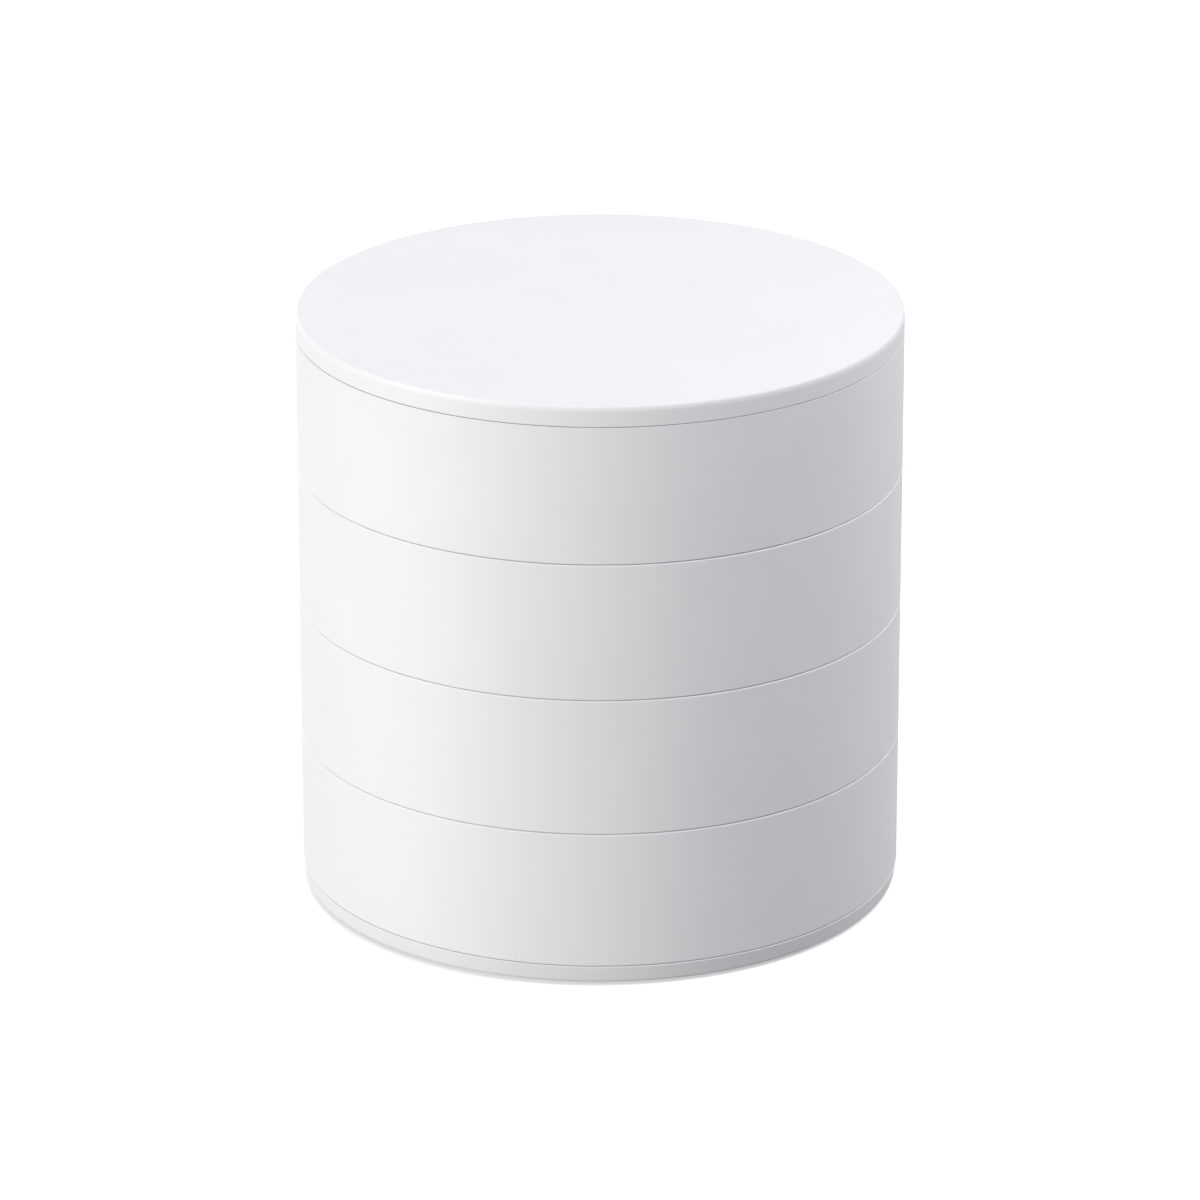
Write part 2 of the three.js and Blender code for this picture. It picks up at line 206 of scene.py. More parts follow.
def arc_angles(start: Vector, end: Vector, turn: int, radius: float) -> list[float]:
    """List the angles along an arc, without its last one.

    Args:
        start: Direction from the arc's centre to its first point.
        end: Direction from the arc's centre to its last point.
        turn: 1 for an arc that turns left, -1 for one that turns right.
        radius: The arc's radius, which sets how many flats it needs.

    Returns:
        The angles from +X.
    """
    first = math.atan2(start.y, start.x)
    sweep = turn * ((turn * (math.atan2(end.y, end.x) - first)) % FULL_TURN)
    flat = 2.0 * math.acos(1.0 - CHORD / radius)
    count = max(2, math.ceil(abs(sweep) / flat))
    return [first + sweep * i / count for i in range(count)]


@dataclass(frozen=True)
class Outline:
    """Closed outline of a space, anticlockwise, with the way into the space at each point."""

    points: tuple[Vector, ...]
    ways: tuple[Vector, ...]

    def inset(self, amount: float) -> list[Vector]:
        """Return the outline's points moved into the space."""
        return [point + way * amount for point, way in zip(self.points, self.ways)]

    @classmethod
    def circle(cls, centre: Vector, radius: float) -> "Outline":
        """Return a round outline."""
        out = spokes(math.ceil(math.pi / math.acos(1.0 - CHORD / radius)))
        return cls(tuple(centre + way * radius for way in out), tuple(-way for way in out))

    @classmethod
    def polygon(cls, corners: Sequence[Vector]) -> "Outline":
        """Make an outline with straight sides and sharp corners.

        Args:
            corners: The corners, anticlockwise.

        Returns:
            The outline, whose ways keep every side parallel to itself when it is inset.
        """
        ways = []
        for i, corner in enumerate(corners):
            before = left_of((corner - corners[i - 1]).normalized())
            after = left_of((corners[(i + 1) % len(corners)] - corner).normalized())
            ways.append((before + after) / (1.0 + before.dot(after)))
        return cls(tuple(corners), tuple(ways))

    @classmethod
    def rounded(cls, edges: Sequence[Edge], corner: float) -> "Outline":
        """Make the outline of a space from the edges that bound it.

        Args:
            edges: The edges, anticlockwise round the space.
            corner: Radius of the round between one edge and the next.

        Returns:
            The outline.
        """
        following = [*edges[1:], edges[0]]
        centres = [corner_centre(a, b, corner) for a, b in zip(edges, following)]
        points: list[Vector] = []
        ways: list[Vector] = []
        for i, edge in enumerate(edges):
            start, end = edge.nearest(centres[i - 1]), edge.nearest(centres[i])
            if isinstance(edge, StraightEdge):
                points.append(start)
                ways.append(edge.normal)
            else:
                span = start - edge.centre, end - edge.centre
                for angle in arc_angles(*span, -edge.side.value, edge.radius):
                    points.append(edge.centre + direction(angle) * edge.radius)
                    ways.append(direction(angle) * edge.side.value)
            span = end - centres[i], following[i].nearest(centres[i]) - centres[i]
            for angle in arc_angles(*span, 1, corner):
                points.append(centres[i] + direction(angle) * corner)
                ways.append(-direction(angle))
        return cls(tuple(points), tuple(ways))


# Profiles and meshes

def rounding(
    across: float, height: float, size: float, first: float, last: float,
    steps: int = EDGE_STEPS, wear: float = 0.0, tall: float = 1.0,
) -> list[Step]:
    """Make the profile steps of a rounded edge or a fillet.

    Args:
        across: Inset or radius of the arc's centre.
        height: Height of the arc's centre.
        size: The arc's radius.
        first: Angle of the first step, in degrees from the across axis.
        last: Angle of the last step.
        steps: Number of flats.
        wear: How much the middle of the arc is rubbed by handling.
        tall: The arc's height over its width.

    Returns:
        The steps, first and last ones included.
    """
    made = []
    for i in range(steps + 1):
        angle = math.radians(first + (last - first) * i / steps)
        rise = size * tall * math.sin(angle)
        rubbed = wear * math.sin(math.pi * i / steps)
        made.append((across + size * math.cos(angle), height + rise, rubbed))
    return made


def lower_edge(
    outer: float, bottom: float, size: float, wear: float = 0.0, steps: int = EDGE_STEPS
) -> list[Step]:
    """Return the steps of a rounded edge, from the lower face out to the side."""
    return rounding(outer - size, bottom + size, size, DOWN, OUT, steps, wear)


def upper_edge(outer: float, top: float, size: float, wear: float) -> list[Step]:
    """Return the steps of a rounded edge, from the side up to the upper face."""
    return rounding(outer - size, top - size, size, OUT, UP, EDGE_STEPS, wear)


def hollow_steps(bottom: float, depth: float, edge: float, cove: float) -> list[Step]:
    """Make the profile steps of a hollow in a face that looks down.

    Args:
        bottom: Height of the face.
        depth: The hollow's depth.
        edge: Radius of the rounded edge round its mouth.
        cove: Radius of the cove round its roof.

    Returns:
        The steps, from the mouth to the roof.
    """
    return [
        *lower_edge(0.0, bottom, edge),
        *rounding(cove, bottom + depth - cove, cove, IN, UP),
    ]


@dataclass(frozen=True)
class Recess:
    """Space sunk into a flat face: an outline carried through steps of inset and height."""

    outline: Outline
    steps: Sequence[Step]
    floor: Sequence["Recess"] = ()
    through: bool = False


def stepped_bore(centre: Vector, steps: Sequence[Step], through: bool) -> Recess:
    """Make a round hole whose radius changes on the way in.

    Args:
        centre: The hole's middle.
        steps: Radius and height of each step, from the face inwards.
        through: True if the hole runs out of the opposite face.

    Returns:
        The hole as a recess.
    """
    widest = max(radius for radius, _ in steps)
    insets = [(widest - radius, height) for radius, height in steps]
    return Recess(Outline.circle(centre, widest), insets, (), through)


def is_level(edge: bmesh.types.BMEdge) -> bool:
    """Tell whether an edge parts two triangles of one level face."""
    corners = [vert.co.z for face in edge.link_faces for vert in face.verts]
    return len(corners) == TWO_TRIANGLES and max(corners) == min(corners)


def add_object(name: str, data: bpy.types.ID) -> bpy.types.Object:
    """Add an object to the scene.

    Args:
        name: The object's name.
        data: Its mesh, lamp or camera.

    Returns:
        The object.
    """
    made = bpy.data.objects.new(name, data)
    bpy.context.scene.collection.objects.link(made)
    return made


class MeshDraft:
    """Mesh of one piece, gathered loop by loop in millimetres."""

    def __init__(self) -> None:
        """Start an empty mesh."""
        self.points: list[Vector] = []
        self.wear: list[float] = []
        self.faces: list[tuple[int, ...]] = []

    def loop(self, points: Iterable[Vector], wear: float = 0.0) -> list[int]:
        """Add a loop of points.

        Args:
            points: The points, in order.
            wear: How much the loop is rubbed by handling.

        Returns:
            The points' numbers.
        """
        start = len(self.points)
        self.points.extend(points)
        made = list(range(start, len(self.points)))
        self.wear.extend([wear] * len(made))
        return made

    def level(self, outline: Iterable[Vector], height: float, wear: float = 0.0) -> list[int]:
        """Add a level loop and return its points' numbers."""
        return self.loop([Vector((p.x, p.y, height)) for p in outline], wear)

    def bridge(self, loops: Sequence[list[int]]) -> None:
        """Join each loop to the next with a strip of quads.

        Args:
            loops: The loops' point numbers.
        """
        for a, b in zip(loops, loops[1:]):
            for i in range(len(a)):
                self.faces.append((a[i - 1], a[i], b[i], b[i - 1]))

    def plane(self, outer: list[int], holes: Sequence[list[int]] = ()) -> None:
        """Fill a level loop.

        Args:
            outer: The loop round the face.
            holes: Loops of the openings in it.
        """
        loops = [outer, *holes]
        flat = [number for loop in loops for number in loop]
        places = [[self.points[number] for number in loop] for loop in loops]
        for triangle in tessellate_polygon(places):
            self.faces.append(tuple(flat[corner] for corner in triangle))

    def turn(self, steps: Sequence[Step], flats: int = HARDWARE_FLATS) -> list[list[int]]:
        """Add the skin of a round piece, turned about the piece's own axis.

        Args:
            steps: Radius, height and wear of each loop.
            flats: Number of flats round it.

        Returns:
            The loops' point numbers.
        """
        ring = spokes(flats)
        loops = [self.level([way * radius for way in ring], *rest) for radius, *rest in steps]
        self.bridge(loops)
        return loops

    def sink(self, recess: Recess) -> tuple[list[int], list[int]]:
        """Add the walls of a recess, and its floor unless it runs right through.

        Args:
            recess: The recess.

        Returns:
            The first and the last loop's point numbers.
        """
        loops = [self.level(recess.outline.inset(inset), *rest) for inset, *rest in recess.steps]
        self.bridge(loops)
        if not recess.through:
            self.plane(loops[-1], [self.sink(inner)[0] for inner in recess.floor])
        return loops[0], loops[-1]

    def build(self, name: str, at: Vector) -> bpy.types.Object:
        """Turn the draft into an object.

        Args:
            name: The object's name.
            at: Place of the draft's own axis, seen from above.

        Returns:
            The object, with smooth faces, crisp corners and normals that keep its flats flat.

        Raises:
            ValueError: If the mesh isn't closed.
        """
        mesh = bpy.data.meshes.new(name)
        mesh.from_pydata([point * MM for point in self.points], [], self.faces)
        mesh.attributes.new(WEAR, "FLOAT", "POINT").data.foreach_set("value", self.wear)
        body = bmesh.new()
        body.from_mesh(mesh)
        if not all(edge.is_manifold for edge in body.edges):
            raise ValueError(f"{name} is not closed")
        level = [edge for edge in body.edges if is_level(edge)]
        bmesh.ops.beautify_fill(
            body, faces=body.faces, edges=level, use_restrict_tag=False, method="ANGLE",
        )
        bmesh.ops.recalc_face_normals(body, faces=body.faces)
        for face in body.faces:
            face.smooth = True
        for edge in body.edges:
            edge.smooth = edge.calc_face_angle() < SHARP_ANGLE
        body.to_mesh(mesh)
        body.free()
        piece = add_object(name, mesh)
        piece.location = at.to_3d() * MM
        piece.modifiers.new("flat_faces_stay_flat", "WEIGHTED_NORMAL").keep_sharp = True
        return piece


def moulded_disc(
    skin: Sequence[Step], above: Sequence[Recess], below: Sequence[Recess],
    bores: Sequence[Recess] = (),
) -> MeshDraft:
    """Make a round moulding with openings in its two faces.

    Args:
        skin: The outside, from the lower face up to the upper one.
        above: Recesses in the upper face.
        below: Recesses in the lower face.
        bores: Holes from the upper face to the lower one.

    Returns:
        The mesh.
    """
    draft = MeshDraft()
    loops = draft.turn(skin, SKIN_FLATS)
    pierced = [draft.sink(hole) for hole in bores]
    upper = [draft.sink(recess)[0] for recess in above] + [first for first, _ in pierced]
    lower = [draft.sink(recess)[0] for recess in below] + [last for _, last in pierced]
    draft.plane(loops[-1], upper)
    draft.plane(loops[0], lower)
    return draft


def turned_ring(section: Sequence[Step], flats: int = HARDWARE_FLATS) -> MeshDraft:
    """Make a turned ring from its closed section.

    Args:
        section: Radius and height of each corner of the section.
        flats: Number of flats round it.

    Returns:
        The mesh.
    """
    draft = MeshDraft()
    loops = draft.turn(section, flats)
    draft.bridge([loops[-1], loops[0]])
    return draft


def washer_section(
    inner: float, outer: float, bottom: float, top: float, edge: float
) -> list[Step]:
    """List the corners of a flat ring's section, with all four edges broken.

    Args:
        inner: Inner radius.
        outer: Outer radius.
        bottom: Height of the lower face.
        top: Height of the upper face.
        edge: Size of the broken edge.

    Returns:
        Radius and height of each corner.
    """
    return [
        (inner + edge, bottom), (outer - edge, bottom), (outer, bottom + edge), (outer, top - edge),
        (outer - edge, top), (inner + edge, top), (inner, top - edge), (inner, bottom + edge),
    ]


@dataclass(frozen=True)
class Thread:
    """Screw thread on the upper end of a round piece, with a tapered tip."""

    radius: float  # over the crests
    depth: float  # from a crest to the root
    pitch: float
    neck: float  # plain length under the thread
    tip: float  # length of the taper
    tip_radius: float

    @property
    def core(self) -> float:
        """Radius at the root."""
        return self.radius - self.depth

    def crown(self, draft: MeshDraft, start: list[int], bottom: float, top: float) -> None:
        """Carry a mesh on from a loop at the root, through the thread to the closed tip.

        Args:
            draft: The mesh.
            start: The loop's point numbers.
            bottom: The loop's height.
            top: Height of the tip.
        """
        ring = spokes(len(start))
        low, high = bottom + self.neck, top - self.tip
        rows = math.ceil(THREAD_STEPS * (high - low) / self.pitch)
        loops = [start]
        for row in range(rows + 1):
            z = low + (high - low) * row / rows
            fade = min(1.0, (z - low) / self.pitch, (high - z) / self.pitch)
            points = []
            for i, way in enumerate(ring):
                crest = 0.5 - 0.5 * math.cos(FULL_TURN * (z / self.pitch - i / len(ring)))
                points.append(way * (self.radius - self.depth * (1.0 - crest * fade)))
            loops.append(draft.level(points, z))
        loops.append(draft.level([way * self.tip_radius for way in ring], top))
        draft.bridge(loops)
        draft.plane(loops[-1])


# Finishes

class Slot(Enum):
    """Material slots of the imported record."""

    WHITE_ABS = "white_abs"
    ACETAL = "acetal"
    TURNED_STEEL = "turned_steel"
    ZINC_STEEL = "zinc_steel"
    SPRING_STEEL = "spring_steel"
    BRASS = "brass"
    PAD_RUBBER = "pad_rubber"


Span = tuple[float, float]
Tree = bpy.types.NodeTree
Socket = bpy.types.NodeSocket


def linear(colour: str) -> tuple[float, float, float, float]:
    """Turn a colour into the form that shaders and lamps take.

    Args:
        colour: The colour as sRGB hex.

    Returns:
        Linear red, green, blue and alpha.
    """
    shares = [int(colour[i : i + 2], 16) / 255.0 for i in (0, 2, 4)]
    made = [s / 12.92 if s <= 0.04045 else ((s + 0.055) / 1.055) ** 2.4 for s in shares]
    return (made[0], made[1], made[2], 1.0)


def empty_tree(owner: bpy.types.Material | bpy.types.World) -> Tree:
    """Clear the nodes of a material or of the world.

    Args:
        owner: The material or world.

    Returns:
        Its empty tree.
    """
    owner.use_nodes = True
    owner.node_tree.nodes.clear()
    return owner.node_tree


def add_node(
    tree: Tree, kind: str, inputs: Mapping[str | int, object] | None = None, **settings: object
) -> bpy.types.Node:
    """Add a node with its settings and links.

    Args:
        tree: The tree that takes the node.
        kind: The node's type, without the prefix that all shader nodes have.
        inputs: A value or another node's output for each input, by name or number.
        **settings: The node's own properties.

    Returns:
        The node.
    """
    node = tree.nodes.new(f"ShaderNode{kind}")
    for name, value in settings.items():
        setattr(node, name, value)
    for key, value in (inputs or {}).items():
        if isinstance(value, Socket):
            tree.links.new(value, node.inputs[key])
        else:
            node.inputs[key].default_value = value
    return node


# Colour sockets of the mix node, which has several sockets of one name
MIX_SHARE, MIX_FIRST, MIX_SECOND, MIX_RESULT = 0, 6, 7, 2


class Grain(Enum):
    """Kinds of pattern, by the node that makes them."""

    CLOUDS = "TexNoise"
    CELLS = "TexVoronoi"


@dataclass(frozen=True)
class Pattern:
    """Procedural pattern whose features have a real size."""

    size: float
    detail: float  # how many times finer features are laid over it
    depth: float = 0.0  # how far it raises the surface, where it does
    grain: Grain = Grain.CLOUDS


BLOOM = Pattern(3.0, 5.0)  # patches that handling and storage leave on a bare surface
SPANGLE = Pattern(0.5, 0.0, 0.006, Grain.CELLS)  # really about 0.1 across, drawn coarser to show
DUST = Pattern(1.8, 6.0)


@dataclass(frozen=True)
class Finish:
    """What every finish has: two colours, a sheen, and the patterns that vary them."""

    name: str
    slot: Slot
    colour: str
    roughness: float
    second_colour: str
    tone: Pattern  # mixes the second colour into the first
    tone_span: Span  # values at which the first and the second colour are pure
    haze: Pattern  # varies the sheen
    haze_span: Span  # values at which the sheen reaches its two ends
    haze_swing: Span  # what is added to the roughness at those ends
    reliefs: tuple[Pattern, ...] = ()
    metallic: float = 0.0
    ior: float = 1.5  # the shader's own default, which metals keep

    def material(self) -> bpy.types.Material:
        """Make the finish's material on first use.

        Returns:
            The material.
        """
        made = bpy.data.materials.get(self.name)
        if made is None:
            made = bpy.data.materials.new(self.name)
            tree = empty_tree(made)
            add_node(tree, "OutputMaterial", {"Surface": self.shade(tree).outputs[0]})
        return made

    def lines(self, tree: Tree, place: Socket) -> list[tuple[Socket, float]]:
        """Return heights and depths of a tool's marks, of which most finishes have none."""
        return []

    def worn(self, tree: Tree, colour: Socket, sheen: Socket) -> tuple[Socket, Socket]:
        """Return the colour and the sheen after handling, which most finishes withstand."""
        return colour, sheen

    def shade(self, tree: Tree) -> bpy.types.Node:
        """Add the finish's nodes.

        Args:
            tree: The material's tree.

        Returns:
            The shader.
        """
        ends = "From Min", "From Max", "To Min", "To Max"
        place = add_node(tree, "TexCoord").outputs["Object"]
        values: dict[Pattern, Socket] = {}
        for pattern in dict.fromkeys((self.tone, self.haze, *self.reliefs)):
            scale = 1.0 / (pattern.size * MM)
            inputs = {"Vector": place, "Scale": scale, "Detail": pattern.detail}
            values[pattern] = add_node(tree, pattern.grain.value, inputs).outputs[0]
        share = add_node(
            tree, "MapRange", {"Value": values[self.tone], **dict(zip(ends, self.tone_span))},
        )
        tone = add_node(
            tree, "Mix",
            {MIX_SHARE: share.outputs[0], MIX_FIRST: linear(self.colour),
             MIX_SECOND: linear(self.second_colour)},
            data_type="RGBA",
        )
        swing = [self.roughness + change for change in self.haze_swing]
        haze = add_node(
            tree, "MapRange",
            {"Value": values[self.haze], **dict(zip(ends, (*self.haze_span, *swing)))},
        )
        colour, sheen = self.worn(tree, tone.outputs[MIX_RESULT], haze.outputs[0])
        inputs = {
            "Base Color": colour, "Roughness": sheen, "Metallic": self.metallic, "IOR": self.ior,
        }
        raised = [(values[pattern], pattern.depth) for pattern in self.reliefs]
        for height, depth in raised + self.lines(tree, place):
            below = {"Normal": inputs["Normal"]} if "Normal" in inputs else {}
            bump = add_node(
                tree, "Bump", {"Strength": 1.0, "Distance": depth * MM, "Height": height, **below},
            )
            inputs["Normal"] = bump.outputs[0]
        return add_node(tree, "BsdfPrincipled", inputs)


@dataclass(frozen=True)
class MouldedAbs(Finish):
    """White ABS, injection moulded in a tool with a fine spark-eroded texture.

    It gives an even satin white: broad soft highlights, a faint flow in the tone, and edges that
    handling has burnished a little.
    """

    second_colour: str = "F0EFF1"
    tone: Pattern = Pattern(22.0, 3.0)  # drift of tone from the gate outwards
    tone_span: Span = (0.65, 0.35)
    haze: Pattern = Pattern(2.6, 4.0)  # patches of slightly different sheen
    haze_span: Span = (0.3, 0.7)
    haze_swing: Span = (-0.03, 0.03)
    reliefs: tuple[Pattern, ...] = (
        Pattern(11.0, 1.0, 0.02),  # the slight waviness of a moulded wall
        Pattern(0.45, 2.0, 0.012),  # the texture, really some 0.03 across, drawn coarser to show
    )
    ior: float = 1.54
    edge_colour: str = "F3F2F4"
    edge_share: float = 0.5  # how far a rubbed edge takes that colour
    burnish: float = -0.03  # what is added to the roughness on a rubbed edge

    def worn(self, tree: Tree, colour: Socket, sheen: Socket) -> tuple[Socket, Socket]:
        """Add the wear along rounded edges.

        Args:
            tree: The material's tree.
            colour: The colour of the unworn surface.
            sheen: The roughness of the unworn surface.

        Returns:
            The colour and the roughness, with edges a little paler and smoother.
        """
        rubbed = add_node(tree, "Attribute", attribute_name=WEAR).outputs["Fac"]
        share = add_node(tree, "Math", {0: rubbed, 1: self.edge_share}, operation="MULTIPLY")
        paler = add_node(
            tree, "Mix",
            {MIX_SHARE: share.outputs[0], MIX_FIRST: colour, MIX_SECOND: linear(self.edge_colour)},
            data_type="RGBA",
        )
        smoother = add_node(
            tree, "Math", {0: rubbed, 1: self.burnish, 2: sheen}, operation="MULTIPLY_ADD",
        )
        return paler.outputs[MIX_RESULT], smoother.outputs[0]


@dataclass(frozen=True)
class Machined(Finish):
    """Acetal, steel or brass turned on a lathe, or strip with the lines of a rolling mill.

    It gives fine rings on the faces and fine lines round the sides, with a sheen that changes a
    little from place to place.
    """

    tone: Pattern = BLOOM
    tone_span: Span = (0.4, 0.75)
    haze: Pattern = BLOOM
    haze_span: Span = (0.3, 0.7)
    haze_swing: Span = (-0.05, 0.06)
    metallic: float = 1.0
    feed: float = 0.16  # the real feed is about 0.05, drawn coarser so that it shows
    feed_depth: float = 0.004
    feed_waver: float = 0.4
    waver_scale: float = 2.0
    wave_length: float = 20.0  # radians in one wave of the wave node, at a scale of 1

    def lines(self, tree: Tree, place: Socket) -> list[tuple[Socket, float]]:
        """Add the lines that the lathe's tool leaves.

        Args:
            tree: The material's tree.
            place: The point of the piece that is shaded.

        Returns:
            Their height, and its depth in millimetres.
        """
        inputs = {
            "Vector": place, "Scale": FULL_TURN / (self.wave_length * self.feed * MM),
            "Distortion": self.feed_waver, "Detail Scale": self.waver_scale,
        }
        faces = add_node(tree, "TexWave", inputs, wave_type="RINGS", rings_direction="Z")
        sides = add_node(tree, "TexWave", inputs, wave_type="BANDS", bands_direction="Z")
        both = add_node(
            tree, "Math", {0: faces.outputs["Fac"], 1: sides.outputs["Fac"]}, operation="ADD",
        )
        return [(both.outputs[0], self.feed_depth)]


@dataclass(frozen=True)
class ZincPlated(Finish):
    """Steel, barrel plated with zinc and clear passivated.

    It gives a bluish silver with a soft crystalline mottle and a breath of yellow in places.
    """

    second_colour: str = "CFCBB4"
    tone: Pattern = Pattern(2.2, 4.0)
    tone_span: Span = (0.45, 0.75)
    haze: Pattern = SPANGLE
    haze_span: Span = (0.0, 1.0)
    haze_swing: Span = (-0.05, 0.08)
    reliefs: tuple[Pattern, ...] = (SPANGLE,)
    metallic: float = 1.0


@dataclass(frozen=True)
class MouldedRubber(Finish):
    """Grey rubber, compression moulded in a blasted tool.

    It gives a dry matt grey with a fine stipple and a little dust.
    """

    second_colour: str = "C6C5C5"
    tone: Pattern = DUST
    tone_span: Span = (0.45, 0.7)
    haze: Pattern = DUST
    haze_span: Span = (0.0, 1.0)
    haze_swing: Span = (-0.08, 0.08)
    reliefs: tuple[Pattern, ...] = (
        Pattern(0.35, 3.0, 0.03),  # the stipple, really about 0.1 across, drawn coarser to show
    )
    ior: float = 1.52


SATIN_ABS = MouldedAbs("moulded_satin_white_abs", Slot.WHITE_ABS, "F2F1F3", 0.55)
TURNED_ACETAL = Machined(
    "turned_natural_acetal", Slot.ACETAL, "E9E6DC", 0.38, "DEDACD", metallic=0.0, ior=1.48,
)
TURNED_STEEL = Machined("turned_bright_steel", Slot.TURNED_STEEL, "C3C5C8", 0.27, "A9ABAE")
TURNED_BRASS = Machined("turned_brass", Slot.BRASS, "DDBD77", 0.3, "BE9A57")
SPRING_STRIP = Machined(
    "rolled_spring_steel_strip", Slot.SPRING_STEEL, "BEBDBA", 0.24, "9E9C97",
    feed=0.3,  # stands for the lines that rolling leaves
)
ZINC_STEEL = ZincPlated("zinc_plated_steel", Slot.ZINC_STEEL, "CDD1D6", 0.34)
PAD_RUBBER = MouldedRubber("moulded_grey_rubber", Slot.PAD_RUBBER, "ACACAE", 0.82)


# Sub-assemblies

@dataclass(frozen=True)
class CaseSizes:
    """Sizes that several sub-assemblies share."""

    radius: float = 50.0
    wall: float = 2.0
    shaft_radius: float = 3.0
    screw_radius: float = 1.5
    running_gap: float = 0.06  # round the shaft
    hub_radius: float = 4.6
    hub_reach: float = 5.8  # how far the hub or the bush reaches into a tray
    nest_gap: float = 0.2  # round the hub and the bush, and inside the slip washers
    fit_gap: float = 0.05  # between pieces that are fixed to each other
    boss_radius: float = 7.4
    boss_merge: float = 0.2  # how far a boss runs into the wall
    washer_radius: float = 6.6
    seat_radius: float = 6.7
    broken_edge: float = 0.1  # of seats and pockets
    heel_round: float = 0.15  # a tray's lower edge and the base's upper one
    corner: float = 4.0  # of compartments and hollows, seen from above
    hollow_round: float = 0.12
    mark_count: int = 6  # marks that ejector pins have left under a disc
    mark_ring: float = 30.0  # circle on which they lie
    mark_radius: float = 2.2
    mark_depth: float = 0.06
    mark_taper: float = 0.05
    gate_radius: float = 1.6  # dimple in which the gate was broken off
    gate_floor: float = 0.96  # its radius at the bottom
    gate_depth: float = 0.25

    @property
    def pivot(self) -> Vector:
        """Middle of the upright shaft, seen from above."""
        return Vector((0.0, self.radius - self.wall + self.boss_merge - self.boss_radius))

    @property
    def bore(self) -> float:
        """Radius of a bore that turns on the shaft."""
        return self.shaft_radius + self.running_gap

    def wall_edge(self, inset: float) -> RoundEdge:
        """Return the inside of a ring of wall that is as wide as the inset."""
        return RoundEdge(MIDDLE, self.radius - inset, Side.INSIDE)

    def boss_edge(self, radius: float) -> RoundEdge:
        """Return the outside of a boss round the pivot."""
        return RoundEdge(self.pivot, radius, Side.OUTSIDE)

    def pin_mark(self, pin: Vector, height: float) -> Recess:
        """Return the mark that an ejector pin leaves in a face that looks down."""
        steps = [(0.0, height), (self.mark_taper, height + self.mark_depth)]
        return Recess(Outline.circle(pin, self.mark_radius), steps)

    def hollow(self, land: float, bottom: float, depth: float) -> Recess:
        """Make the shallow hollow under a disc.

        Args:
            land: Width of the flat ring left at the edge.
            bottom: Height of the disc's lower face.
            depth: The hollow's depth.

        Returns:
            The hollow as a recess, with the marks of pins and gate in its roof.
        """
        edge, roof = self.hollow_round, bottom + depth
        bounds = [self.wall_edge(land), self.boss_edge(self.boss_radius)]
        marks = [self.pin_mark(way * self.mark_ring, roof) for way in spokes(self.mark_count)]
        dimple = [(self.gate_radius, roof), (self.gate_floor, roof + self.gate_depth)]
        return Recess(
            Outline.rounded(bounds, self.corner), hollow_steps(bottom, depth, edge, edge),
            [*marks, stepped_bore(MIDDLE, dimple, False)],
        )


CASE = CaseSizes()


def heights(node: str) -> tuple[float, float]:
    """Return a CAD node's lowest and highest point in millimetres."""
    low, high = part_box(node)
    return low.z / MM, high.z / MM


class SubAssembly:
    """Pieces that are made together and tied to bodies of the frame."""

    def dress(
        self, draft: MeshDraft, name: str, node: str, body: str, finish: Finish,
        at: Vector = MIDDLE,
    ) -> None:
        """Make a piece from its mesh, give it its finish and tie it to the frame.

        Args:
            draft: The mesh.
            name: The piece's name.
            node: The CAD node it stands for.
            body: The CAD body it moves with.
            finish: Its finish.
            at: Place of the draft's own axis, seen from above.
        """
        piece = draft.build(name, at)
        piece.data.materials.append(finish.material())
        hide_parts(node)
        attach(piece, body)
        LOG.info("%s: %d points in %s, on body %s", name, len(draft.points), finish.name, body)

    def build(self) -> None:
        """Make every piece."""
        raise NotImplementedError


class Space(Enum):
    """Compartments of a tray, by where they lie."""

    BACK_RIGHT = "back right"
    BACK_LEFT = "back left"
    FRONT = "front"
    FRONT_RIGHT = "front right"
    FRONT_LEFT = "front left"
    RIGHT = "right"
    LEFT = "left"
    WHOLE = "whole"


